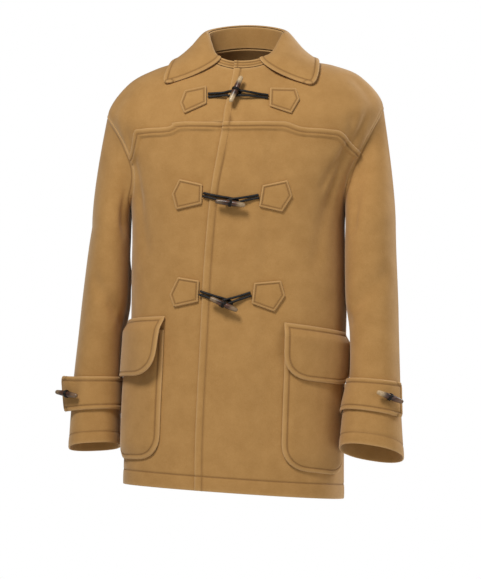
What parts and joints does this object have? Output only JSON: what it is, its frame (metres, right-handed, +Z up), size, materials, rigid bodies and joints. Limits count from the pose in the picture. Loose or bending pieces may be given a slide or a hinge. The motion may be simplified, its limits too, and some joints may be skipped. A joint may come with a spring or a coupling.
{
  "type": "duffle coat",
  "caption": "Duffle coat in thick felted wool with collar, yoke, toggle and cord fastenings, patch pockets and cuff straps, hollow in its worn shape",
  "frame": {"origin": "middle of the neck opening, where the coat rests on the shoulders and neck of the wearer", "axes": "+Z up, -Y the side of the front opening, +X the wearer's left"},
  "size_m": [0.5965, 0.2991, 0.8138],
  "materials": {
    "wool": "matt felted wool, camel",
    "cord": "black twisted cord",
    "horn": "polished horn, brown with pale streaks"
  },
  "bodies": {
    "root": {"shoulder_yoke": "wool", "back": "wool", "front_right": "wool", "front_left": "wool", "neckband": "wool", "collar": "wool", "sleeve_right": "wool", "pocket_right": "wool", "pocket_flap_right": "wool", "sleeve_left": "wool", "pocket_left": "wool", "pocket_flap_left": "wool", "tab_right_1": "wool", "tab_left_1": "wool", "tab_right_2": "wool", "tab_left_2": "wool", "tab_right_3": "wool", "tab_left_3": "wool", "cord_loop_right_1": "cord", "cord_loop_left_1": "cord", "cord_loop_right_2": "cord", "cord_loop_left_2": "cord", "cord_loop_right_3": "cord", "cord_loop_left_3": "cord", "toggle_1": "horn", "toggle_2": "horn", "toggle_3": "horn", "cuff_strap_right": "wool", "cuff_strap_left": "wool", "cuff_toggle_right": "horn", "cuff_cord_right": "cord", "cuff_toggle_left": "horn", "cuff_cord_left": "cord"}
  },
  "joints": []
}
